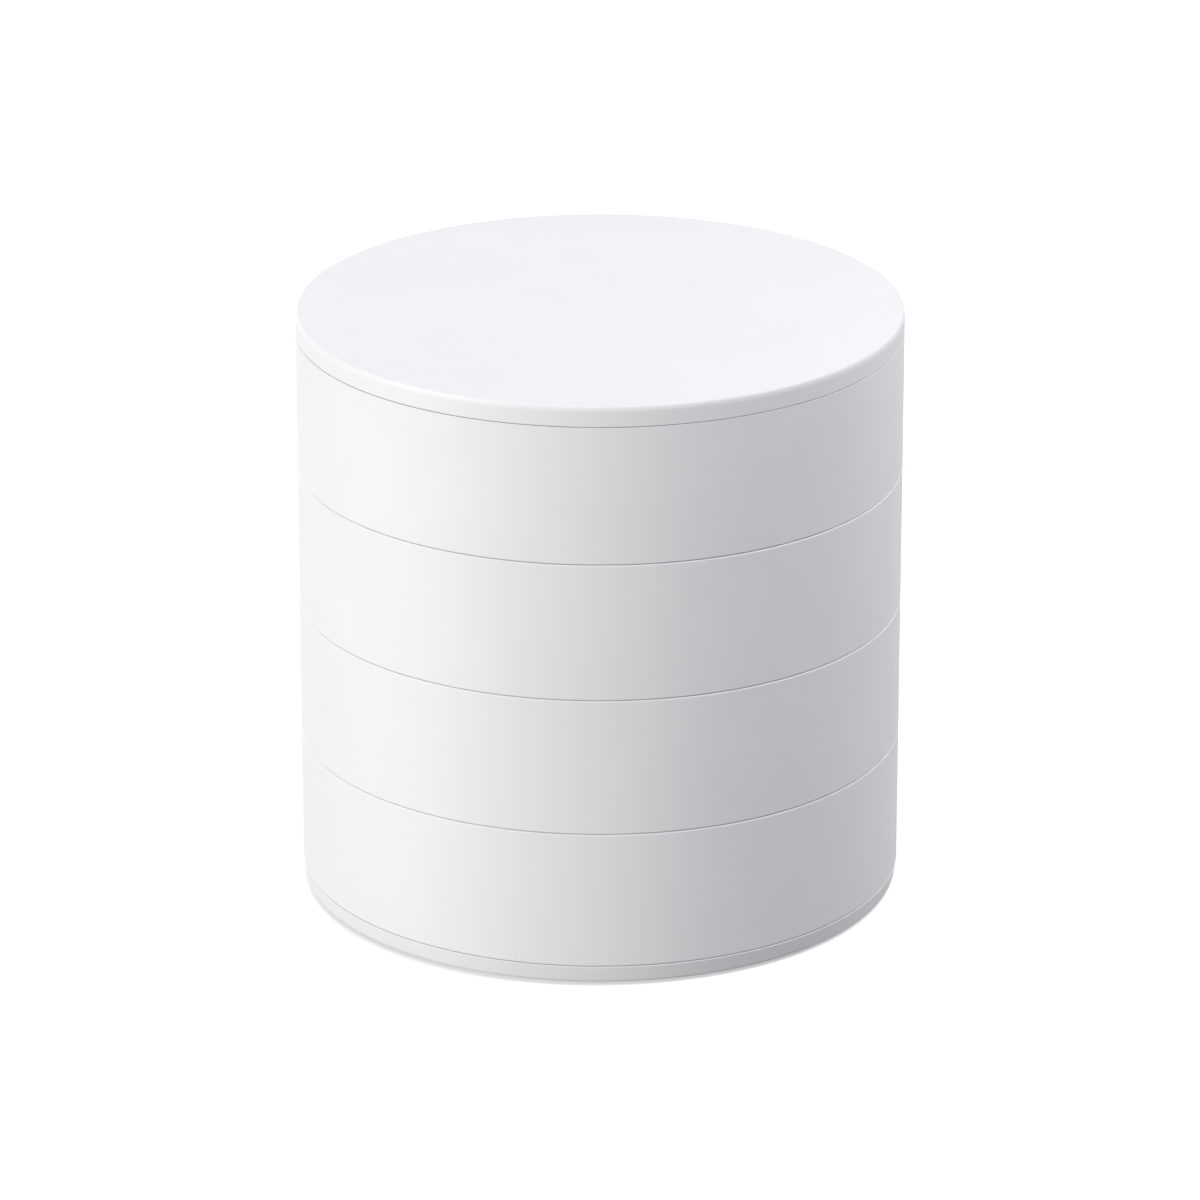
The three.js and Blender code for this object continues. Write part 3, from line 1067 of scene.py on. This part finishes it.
@dataclass
class Tray(SubAssembly):
    """One tier: an open tray with its dividers, pivot boss and slip washer."""

    number: int
    spaces: Sequence[Space]
    hub_above: bool = False  # the lid's hub reaches down into this tray
    bush_below: bool = False  # the base's bush reaches up into this tray
    floor: float = 2.0
    rim_round: float = 0.25
    inner_round: float = 0.3
    divider: float = 1.6
    fillet: float = 2.5
    relief: float = 0.4  # depth of the hollow underneath
    land: float = 3.0  # width of the flat ring left round it
    seat_depth: float = 0.5
    washer_edge: float = 0.1

    def edges(self, space: Space) -> list[Edge]:
        """List the faces that bound a compartment.

        Args:
            space: Which compartment.

        Returns:
            The faces, anticlockwise.
        """
        east, north, west, south = (StraightEdge(way, self.divider / 2.0) for way in spokes(4))
        wall, boss = CASE.wall_edge(CASE.wall), CASE.boss_edge(CASE.boss_radius)
        bounds = {
            Space.BACK_RIGHT: [north, wall, boss, east],
            Space.BACK_LEFT: [north, west, boss, wall],
            Space.FRONT: [south, wall],
            Space.FRONT_RIGHT: [south, east, wall],
            Space.FRONT_LEFT: [south, wall, west],
            Space.RIGHT: [east, wall, boss],
            Space.LEFT: [west, boss, wall],
            Space.WHOLE: [wall, boss],
        }
        return bounds[space]

    def compartment(self, space: Space, bottom: float, top: float) -> Recess:
        """Make a compartment with a rounded rim and a coved floor.

        Args:
            space: Which compartment.
            bottom: Height of the tray's lower face.
            top: Height of the tray's rim.

        Returns:
            The compartment as a recess.
        """
        cove = self.fillet
        steps = [
            *reversed(upper_edge(0.0, top, self.inner_round, INNER_WEAR)),
            *rounding(cove, bottom + self.floor + cove, cove, IN, UNDER, FILLET_STEPS),
        ]
        return Recess(Outline.rounded(self.edges(space), CASE.corner), steps)

    def pivot_bore(self, bottom: float, top: float) -> Recess:
        """Make the washer seat and the bore, with room for a hub or bush.

        Args:
            bottom: Height of the tray's lower face.
            top: Height of the tray's rim.

        Returns:
            The hole as a recess that runs right through.
        """
        nest, seat, edge = CASE.hub_radius + CASE.nest_gap, CASE.seat_radius, CASE.broken_edge
        steps = [(seat + edge, top), (seat, top - edge), (seat, top - self.seat_depth)]
        if self.hub_above:
            steps += [(nest, top - self.seat_depth), (nest, top - CASE.hub_reach)]
        steps += [(CASE.bore, steps[-1][1])]
        if self.bush_below:
            steps += [(CASE.bore, bottom + CASE.hub_reach), (nest, bottom + CASE.hub_reach)]
        last = steps[-1][0]
        steps += [(last, bottom + edge), (last + edge, bottom)]
        return stepped_bore(CASE.pivot, steps, True)

    def build(self) -> None:
        """Make the tray and its slip washer."""
        node = f"tray_{self.number}"
        bottom, top = heights(node)
        skin = [
            *lower_edge(CASE.radius, bottom, CASE.heel_round, HEEL_WEAR),
            *upper_edge(CASE.radius, top, self.rim_round, RIM_WEAR),
        ]
        draft = moulded_disc(
            skin,
            [self.compartment(space, bottom, top) for space in self.spaces],
            [CASE.hollow(self.land, bottom, self.relief)],
            [self.pivot_bore(bottom, top)],
        )
        self.dress(draft, f"{node}_shell", node, node, SATIN_ABS)
        washer = f"spacer_washer_{self.number}"
        inner = CASE.nest_gap + (CASE.hub_radius if self.hub_above else CASE.shaft_radius)
        section = washer_section(inner, CASE.washer_radius, *heights(washer), self.washer_edge)
        ring = turned_ring(section, WASHER_FLATS)
        self.dress(ring, f"{washer}_turned", washer, node, TURNED_ACETAL, CASE.pivot)


@dataclass
class Lid(SubAssembly):
    """Lid with the hub moulded into it and the shaft that it carries."""

    edge_round: float = 0.35
    edge_fall: float = 1.1  # the round runs this far down the side, and so blends softly into it
    edge_steps: int = 12
    heel_round: float = 0.06  # crisper than a tray's, so that the seam below is a plain line
    relief: float = 1.0
    land: float = 2.4
    hub_cover: float = 0.7  # thickness of the lid under the hub's flange
    hub_edge: float = 0.3
    flange_radius: float = 6.8
    flange_sides: int = 6
    flange_thickness: float = 1.0
    flange_corner: float = 0.25
    flange_edge: float = 0.1
    thread: Thread = Thread(radius=2.5, depth=0.4, pitch=0.8, neck=0.7, tip=0.4, tip_radius=1.9)
    chamfer: float = 0.4
    tap_length: float = 9.0
    tap_edge: float = 0.2
    drill_point: float = 1.5
    drill_point_radius: float = 0.3

    def shell(self) -> None:
        """Make the lid's disc."""
        bottom, top = heights("lid")
        edge, fall, gap = self.edge_round, self.edge_fall, CASE.fit_gap
        skin = [
            *lower_edge(CASE.radius, bottom, self.heel_round, HEEL_WEAR),
            *rounding(
                CASE.radius - edge, top - fall, edge, OUT, UP,
                self.edge_steps, RIM_WEAR, fall / edge,
            ),
        ]
        neck, pocket = CASE.hub_radius + gap, self.flange_radius + 2.0 * gap
        floor = bottom + self.hub_cover - gap
        roof = bottom + self.hub_cover + self.flange_thickness + gap
        steps = [(neck, bottom), (neck, floor), (pocket, floor), (pocket, roof)]
        hollow = CASE.hollow(self.land, bottom, self.relief)
        draft = moulded_disc(skin, [], [hollow, stepped_bore(CASE.pivot, steps, False)])
        self.dress(draft, "lid_shell", "lid", "lid", SATIN_ABS)

    def hub(self) -> None:
        """Make the hub: a tube with a six-sided flange that keeps it from turning in the lid."""
        bottom, top = heights("lid_hub")
        under, edge, broken = top - self.flange_thickness, self.hub_edge, self.flange_edge
        bore, tube = self.thread.radius + CASE.fit_gap, CASE.hub_radius
        draft = MeshDraft()
        loops = draft.turn([
            (bore + edge, top), (bore, top - edge), (bore, bottom + edge), (bore + edge, bottom),
            (tube - edge, bottom), (tube, bottom + edge), (tube, under),
        ])
        apothem = self.flange_radius * math.cos(math.pi / self.flange_sides)
        sides = [StraightEdge(-way, -apothem) for way in spokes(self.flange_sides, 0.5)]
        flange = Outline.rounded(sides, self.flange_corner)
        steps = (broken, under), (0.0, under + broken), (0.0, top - broken), (broken, top)
        rims = [draft.level(flange.inset(inset), z) for inset, z in steps]
        draft.bridge(rims)
        draft.plane(rims[0], [loops[-1]])
        draft.plane(rims[-1], [loops[0]])
        self.dress(draft, "lid_hub_turned", "lid_hub", "lid", TURNED_BRASS, CASE.pivot)

    def shaft(self) -> None:
        """Make the shaft: tapped below, shouldered and threaded above."""
        bottom, top = heights("pivot_shaft")
        shoulder = heights("lid_hub")[0] - CASE.fit_gap
        tap, plain, cut = CASE.screw_radius + CASE.fit_gap, CASE.shaft_radius, self.chamfer
        draft = MeshDraft()
        loops = draft.turn([
            (self.drill_point_radius, bottom + self.tap_length + self.drill_point),
            (tap, bottom + self.tap_length), (tap, bottom + self.tap_edge),
            (tap + self.tap_edge, bottom), (plain - cut, bottom), (plain, bottom + cut),
            (plain, shoulder - cut), (plain - cut, shoulder), (self.thread.core, shoulder),
        ])
        draft.plane(loops[0])
        self.thread.crown(draft, loops[-1], shoulder, top)
        self.dress(draft, "pivot_shaft_turned", "pivot_shaft", "lid", TURNED_STEEL, CASE.pivot)

    def build(self) -> None:
        """Make the lid, its hub and the shaft."""
        self.shell()
        self.hub()
        self.shaft()


@dataclass
class Base(SubAssembly):
    """Base plate with its ribs, foot pads, bush and wave washer."""

    edge_round: float = 0.5
    edge_steps: int = 7
    lean: float = 0.35  # how far the side leans in towards the lower face
    skin_thickness: float = 1.7
    land: float = 2.4
    rib_count: int = 8
    rib_width: float = 1.2
    rib_hub: float = 6.0
    rib_round: float = 0.15
    hollow_corner: float = 1.0
    hollow_fillet: float = 0.4
    mark_circle: float = 21.6  # on which ejector pins have left marks
    boss_wall: float = 3.0  # round the bush's flange
    foot_count: int = 4
    foot_circle: float = 36.0
    foot_radius: float = 5.5
    foot_round: float = 0.3
    foot_edge: float = 0.08
    foot_gap: float = 0.15
    foot_wall: float = 1.5  # round a pad's pocket
    foot_pocket: float = 0.55
    foot_groove: float = 3.9  # ring pressed into the sole of a pad
    foot_groove_width: float = 0.7
    foot_groove_depth: float = 0.15
    wave_depth: float = 0.4  # of the seat in which the wave washer lies
    wave_count: int = 3
    wave_thickness: float = 0.22
    wave_edge: float = 0.05
    bush_edge: float = 0.3
    bush_flange: float = 6.0
    bush_flange_edge: float = 0.08
    bush_flange_thickness: float = 0.5
    counterbore: float = 2.0  # depth of the well for the bush's flange

    def foot_places(self) -> list[Vector]:
        """Return the middles of the foot pads, one in each quarter."""
        return [way * self.foot_circle for way in spokes(self.foot_count, 0.5)]

    def sector_edges(self, number: int) -> list[Edge]:
        """List the edges of the hollow between one rib and the next.

        Args:
            number: The sector, counted anticlockwise from +X.

        Returns:
            The edges, anticlockwise.
        """
        first, last = (direction(FULL_TURN * (number + i) / self.rib_count) for i in (0, 1))
        seat_radius = self.foot_radius + self.foot_gap + self.foot_wall
        boss_radius = self.bush_flange + CASE.nest_gap + self.boss_wall

        def rib(way: Vector, side: int) -> list[Edge]:
            """Return one face of a rib, with the foot seat that stands on it.

            Args:
                way: The way in which the rib runs.
                side: 1 for its left face, -1 for its right one.

            Returns:
                The face alone, or its two parts with the seat between them.
            """
            face = StraightEdge(left_of(way) * side, self.rib_width / 2.0)
            for place in self.foot_places():
                if place.normalized().dot(way) > SAME_WAY:
                    return [face, RoundEdge(place, seat_radius, Side.OUTSIDE), face]
            return [face]

        def boss(way: Vector) -> list[Edge]:
            """Return the boss round the pivot, if a rib runs into it."""
            meets = CASE.pivot.normalized().dot(way) > SAME_WAY
            return [CASE.boss_edge(boss_radius)] if meets else []

        return [
            *rib(first, 1), *boss(first), CASE.wall_edge(self.land), *boss(last), *rib(last, -1),
            RoundEdge(MIDDLE, self.rib_hub, Side.OUTSIDE),
        ]

    def sector(self, number: int, bottom: float, depth: float) -> Recess:
        """Make the hollow between one rib and the next.

        Args:
            number: The sector, counted anticlockwise from +X.
            bottom: Height of the plate's lower face.
            depth: The hollow's depth.

        Returns:
            The hollow as a recess, with a pin mark in its roof.
        """
        pin = spokes(self.rib_count, 0.5)[number] * self.mark_circle
        return Recess(
            Outline.rounded(self.sector_edges(number), self.hollow_corner),
            hollow_steps(bottom, depth, self.rib_round, self.hollow_fillet),
            [CASE.pin_mark(pin, bottom + depth)],
        )

    def plate(self) -> None:
        """Make the base plate."""
        bottom, top = heights("base_plate")
        lower, broken = CASE.radius - self.lean, CASE.broken_edge
        skin = [
            *lower_edge(lower, bottom, self.edge_round, RIM_WEAR, self.edge_steps),
            *upper_edge(CASE.radius, top, CASE.heel_round, HEEL_WEAR),
        ]
        depth = top - bottom - self.skin_thickness
        sectors = [self.sector(i, bottom, depth) for i in range(self.rib_count)]
        steps = [(-broken, bottom), (0.0, bottom + broken), (0.0, bottom + self.foot_pocket)]
        rims = [
            Outline.circle(place, self.foot_radius + self.foot_gap) for place in self.foot_places()
        ]
        tube, well = CASE.hub_radius + CASE.fit_gap, self.bush_flange + CASE.nest_gap
        seat, floor, step = CASE.seat_radius, top - self.wave_depth, bottom + self.counterbore
        bore = stepped_bore(
            CASE.pivot,
            [(seat + broken, top), (seat, top - broken), (seat, floor), (tube, floor),
             (tube, step), (well, step), (well, bottom + broken), (well + broken, bottom)],
            True,
        )
        below = [*sectors, *(Recess(rim, steps) for rim in rims)]
        draft = moulded_disc(skin, [], below, [bore])
        self.dress(draft, "base_plate_shell", "base_plate", "base", SATIN_ABS)

    def foot_pads(self) -> None:
        """Make the foot pads, each with a ring pressed into its sole."""
        groove, half, deep = self.foot_groove, self.foot_groove_width / 2.0, self.foot_groove_depth
        radius, broken = self.foot_radius, self.foot_edge
        for i, place in enumerate(self.foot_places()):
            node = f"foot_pad_{i + 1}"
            bottom, top = heights(node)
            draft = MeshDraft()
            loops = draft.turn([
                (groove - half, bottom), (groove - half / 2.0, bottom + deep),
                (groove + half / 2.0, bottom + deep), (groove + half, bottom),
                *lower_edge(radius, bottom, self.foot_round),
                (radius, top - broken), (radius - broken, top),
            ])
            draft.plane(loops[0])
            draft.plane(loops[-1])
            self.dress(draft, f"{node}_moulded", node, "base", PAD_RUBBER, place)

    def bush(self) -> None:
        """Make the flanged bush that the shaft turns in."""
        bottom, top = heights("base_bush")
        bore, tube, edge = CASE.bore, CASE.hub_radius, self.bush_edge
        over = bottom + self.bush_flange_thickness
        rim, broken = self.bush_flange, self.bush_flange_edge
        draft = turned_ring([
            (bore + edge, bottom), (rim - broken, bottom), (rim, bottom + broken),
            (rim, over - broken), (rim - broken, over), (tube, over), (tube, top - edge),
            (tube - edge, top), (bore + edge, top), (bore, top - edge), (bore, bottom + edge),
        ])
        self.dress(draft, "base_bush_turned", "base_bush", "base", TURNED_ACETAL, CASE.pivot)

    def wave_washer(self) -> None:
        """Make the wave washer: a flat ring whose height runs in even waves."""
        bottom, top = heights("wave_washer")
        rise = top - bottom - self.wave_thickness
        inner, upper = CASE.hub_radius + CASE.nest_gap, bottom + self.wave_thickness
        flats = 2 * HARDWARE_FLATS
        lift = [
            rise / 2.0 * (1.0 - math.cos(self.wave_count * FULL_TURN * i / flats))
            for i in range(flats)
        ]
        draft = MeshDraft()
        loops = []
        for radius, z in washer_section(inner, CASE.washer_radius, bottom, upper, self.wave_edge):
            ring = zip(spokes(flats), lift)
            loops.append(draft.loop([Vector((*(way * radius), z + more)) for way, more in ring]))
        draft.bridge([*loops, loops[0]])
        self.dress(draft, "wave_washer_pressed", "wave_washer", "base", SPRING_STRIP, CASE.pivot)

    def build(self) -> None:
        """Make the plate and everything fixed to it."""
        self.plate()
        self.foot_pads()
        self.bush()
        self.wave_washer()


@dataclass
class Retainer(SubAssembly):
    """Screw and washer that hold the shaft down in the base."""

    washer_radius: float = 5.4
    washer_bore: float = 1.7
    washer_edge: float = 0.07
    head_radius: float = 4.0
    head_thickness: float = 0.8
    head_round: float = 0.4
    head_edge: float = 0.06
    thread: Thread = Thread(
        radius=CASE.screw_radius, depth=0.25, pitch=0.5, neck=0.2, tip=0.6, tip_radius=0.8125,
    )
    slot_width: float = 0.9
    slot_length: float = 4.0
    slot_depth: float = 0.5
    slot_taper: float = 0.12

    def cross(self) -> Outline:
        """Make the outline of the cross recess in the head.

        Returns:
            The outline.
        """
        near, far = self.slot_width / 2.0, self.slot_length / 2.0
        corners = []
        for way in spokes(4):
            side = left_of(way)
            corners += [way * far - side * near, way * far + side * near, (way + side) * near]
        return Outline.polygon(corners)

    def screw(self) -> None:
        """Make the low-headed screw."""
        bottom, top = heights("retaining_screw")
        under = bottom + self.head_thickness
        radius, broken = self.head_radius, self.head_edge
        draft = MeshDraft()
        head = draft.turn([
            *lower_edge(radius, bottom, self.head_round),
            (radius, under - broken), (radius - broken, under), (self.thread.core, under),
        ])
        steps = [(0.0, bottom), (self.slot_taper, bottom + self.slot_depth)]
        draft.plane(head[0], [draft.sink(Recess(self.cross(), steps))[0]])
        self.thread.crown(draft, head[-1], under, top)
        self.dress(
            draft, "retaining_screw_headed", "retaining_screw", "lid", ZINC_STEEL, CASE.pivot,
        )

    def washer(self) -> None:
        """Make the washer under the screw's head."""
        node = "retaining_washer"
        section = washer_section(
            self.washer_bore, self.washer_radius, *heights(node), self.washer_edge,
        )
        self.dress(turned_ring(section), f"{node}_stamped", node, "lid", ZINC_STEEL, CASE.pivot)

    def build(self) -> None:
        """Make the washer and the screw."""
        self.washer()
        self.screw()


# Studio

def aim(
    item: bpy.types.Object, azimuth: float, elevation: float, distance: float, height: float
) -> None:
    """Place a lamp or the camera round the case and turn it to a point of the case's middle.

    Args:
        item: The lamp or the camera.
        azimuth: 0 is in front, 90 to the right, in degrees.
        elevation: Angle over the level, in degrees.
        distance: Distance from the point.
        height: The point's height.
    """
    a, e = math.radians(azimuth), math.radians(elevation)
    back = Vector((math.sin(a) * math.cos(e), -math.cos(a) * math.cos(e), math.sin(e)))
    item.location = Vector((0.0, 0.0, height)) + back * distance
    item.rotation_euler = (-back).to_track_quat("-Z", "Y").to_euler()


@dataclass(frozen=True)
class Softbox:
    """Large soft lamp, placed round the case by angle."""

    name: str
    azimuth: float  # in degrees, 0 in front and 90 to the right
    elevation: float
    distance: float
    width: float
    height: float
    power: float  # in watts
    colour: str = WHITE

    def build(self, target_height: float) -> None:
        """Make the lamp and aim it.

        Args:
            target_height: Height of the point at which it looks.
        """
        lamp = bpy.data.lights.new(self.name, "AREA")
        lamp.shape, lamp.size, lamp.size_y = "RECTANGLE", self.width, self.height
        lamp.energy, lamp.color = self.power, linear(self.colour)[:3]
        holder = add_object(self.name, lamp)
        holder.visible_camera = False
        aim(holder, self.azimuth, self.elevation, self.distance, target_height)


@dataclass(frozen=True)
class Studio:
    """Pale floor, soft light and the camera at the photograph's angle."""

    lens: float = 211.94
    sensor: float = 36.0
    distance: float = 1.1768
    elevation: float = 20.84
    target_height: float = 0.04806
    floor_size: float = 6.0
    floor_colour: str = "FCFCFC"
    floor_glow: float = 0.36  # the paper's own glow near the case, as a share of white
    glow_from: float = 0.2  # it rises from this distance on,
    glow_to: float = 0.6  # and from here on the paper is white, however little light it gets
    paper_drop: float = 0.0001  # lies this far under the foot pads, so that their soles show
    card_colour: str = "7C7C7C"
    card_hole: float = 0.0465  # lets light through to the case's underside
    card_drop: float = 0.0005  # lies this far under the foot pads
    card_flats: int = 96
    sky_colour: str = "F8F4FF"
    sky_fill: float = 0.4  # light from all round, as a share of white
    softboxes: tuple[Softbox, ...] = (
        Softbox(
            "key_front_left", azimuth=-55.0, elevation=10.0, distance=1.2,
            width=0.9, height=0.48, power=11.2, colour="FFFFFA",
        ),
        Softbox(
            "rim_right", azimuth=80.0, elevation=52.0, distance=0.6,
            width=0.34, height=0.34, power=2.0,
        ),
        Softbox(
            "fill_back_left", azimuth=-160.0, elevation=12.0, distance=1.2,
            width=0.5, height=0.4, power=5.0,
        ),
    )

    def sheet(
        self, name: str, points: Sequence[tuple[float, float, float]],
        faces: Sequence[Sequence[int]],
    ) -> tuple[bpy.types.Object, Tree]:
        """Make a level sheet of the stage that casts no shadow and shows in no reflection.

        Args:
            name: Name of the sheet and of its material.
            points: Its points, in metres.
            faces: Its faces.

        Returns:
            The sheet, and the tree of its material, still empty.
        """
        mesh = bpy.data.meshes.new(name)
        mesh.from_pydata(points, [], faces)
        made = add_object(name, mesh)
        made.visible_glossy = made.visible_transmission = made.visible_shadow = False
        material = bpy.data.materials.new(name)
        mesh.materials.append(material)
        return made, empty_tree(material)

    def paper(self) -> None:
        """Make the white paper that the camera sees, with the shadow of the case on it."""
        half = self.floor_size / 2.0
        corners = (-half, -half), (half, -half), (half, half), (-half, half)
        points = [(x, y, -self.paper_drop) for x, y in corners]
        sheet, tree = self.sheet("matt_white_paper", points, [(0, 1, 2, 3)])
        sheet.visible_diffuse = False
        lit = add_node(tree, "BsdfDiffuse", {"Color": linear(self.floor_colour)})
        place = add_node(tree, "TexCoord").outputs["Object"]
        away = add_node(tree, "VectorMath", {0: place}, operation="LENGTH")
        level = add_node(
            tree, "MapRange",
            {"Value": away.outputs["Value"], "From Min": self.glow_from,
             "From Max": self.glow_to, "To Min": self.floor_glow},
        )
        glow = add_node(tree, "Emission", {"Color": linear(WHITE), "Strength": level.outputs[0]})
        both = add_node(tree, "AddShader", {0: lit.outputs[0], 1: glow.outputs[0]})
        clear = add_node(tree, "BsdfTransparent")
        under = add_node(tree, "NewGeometry").outputs["Backfacing"]
        seen = add_node(tree, "MixShader", {0: under, 1: both.outputs[0], 2: clear.outputs[0]})
        add_node(tree, "OutputMaterial", {"Surface": seen.outputs[0]})

    def card(self) -> None:
        """Make the grey card that throws light up at the case, with a hole under the case."""
        ring, count = spokes(self.card_flats), self.card_flats
        radii = self.card_hole, self.floor_size / 2.0
        points = [(way.x * r, way.y * r, -self.card_drop) for r in radii for way in ring]
        faces = [(i, count + i, count + (i + 1) % count, (i + 1) % count) for i in range(count)]
        sheet, tree = self.sheet("matt_grey_card", points, faces)
        sheet.visible_camera = False
        lit = add_node(tree, "BsdfDiffuse", {"Color": linear(self.card_colour)})
        add_node(tree, "OutputMaterial", {"Surface": lit.outputs[0]})

    def surround(self) -> None:
        """Make the world: white to look at and in reflections, and a softer fill as light."""
        world = bpy.data.worlds.new("white_surround")
        bpy.context.scene.world = world
        tree = empty_tree(world)
        light = add_node(
            tree, "Background", {"Color": linear(self.sky_colour), "Strength": self.sky_fill},
        )
        white = add_node(tree, "Background", {"Color": linear(WHITE), "Strength": 1.0})
        path = add_node(tree, "LightPath").outputs
        seen = path["Is Camera Ray"]
        for kind in ("Is Glossy Ray", "Is Transmission Ray"):
            seen = add_node(tree, "Math", {0: seen, 1: path[kind]}, operation="MAXIMUM").outputs[0]
        both = add_node(tree, "MixShader", {0: seen, 1: light.outputs[0], 2: white.outputs[0]})
        add_node(tree, "OutputWorld", {"Surface": both.outputs[0]})

    def camera(self) -> None:
        """Make the camera in front of the case, looking a little down."""
        data = bpy.data.cameras.new("camera")
        data.lens, data.sensor_width = self.lens, self.sensor
        camera = add_object("camera", data)
        aim(camera, 0.0, self.elevation, self.distance, self.target_height)
        bpy.context.scene.camera = camera

    def build(self) -> None:
        """Make the whole studio."""
        self.paper()
        self.card()
        self.surround()
        for softbox in self.softboxes:
            softbox.build(self.target_height)
        self.camera()
        bpy.context.scene.view_settings.view_transform = "Standard"


def main() -> None:
    """Build the case and its studio."""
    logging.basicConfig(level=logging.INFO, format="%(message)s")
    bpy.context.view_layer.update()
    assemblies: list[SubAssembly] = [
        Base(),
        # The top tray's rim is crisper, so that the seam under the lid is a plain line
        Tray(1, [Space.BACK_RIGHT, Space.BACK_LEFT, Space.FRONT], hub_above=True, rim_round=0.05),
        Tray(2, [Space.BACK_RIGHT, Space.BACK_LEFT, Space.FRONT_RIGHT, Space.FRONT_LEFT]),
        Tray(3, [Space.RIGHT, Space.LEFT]),
        Tray(4, [Space.WHOLE], bush_below=True),
        Lid(),
        Retainer(),
    ]
    for assembly in assemblies:
        assembly.build()
    Studio().build()
    bpy.context.view_layer.update()


if __name__ == "__main__":
    main()
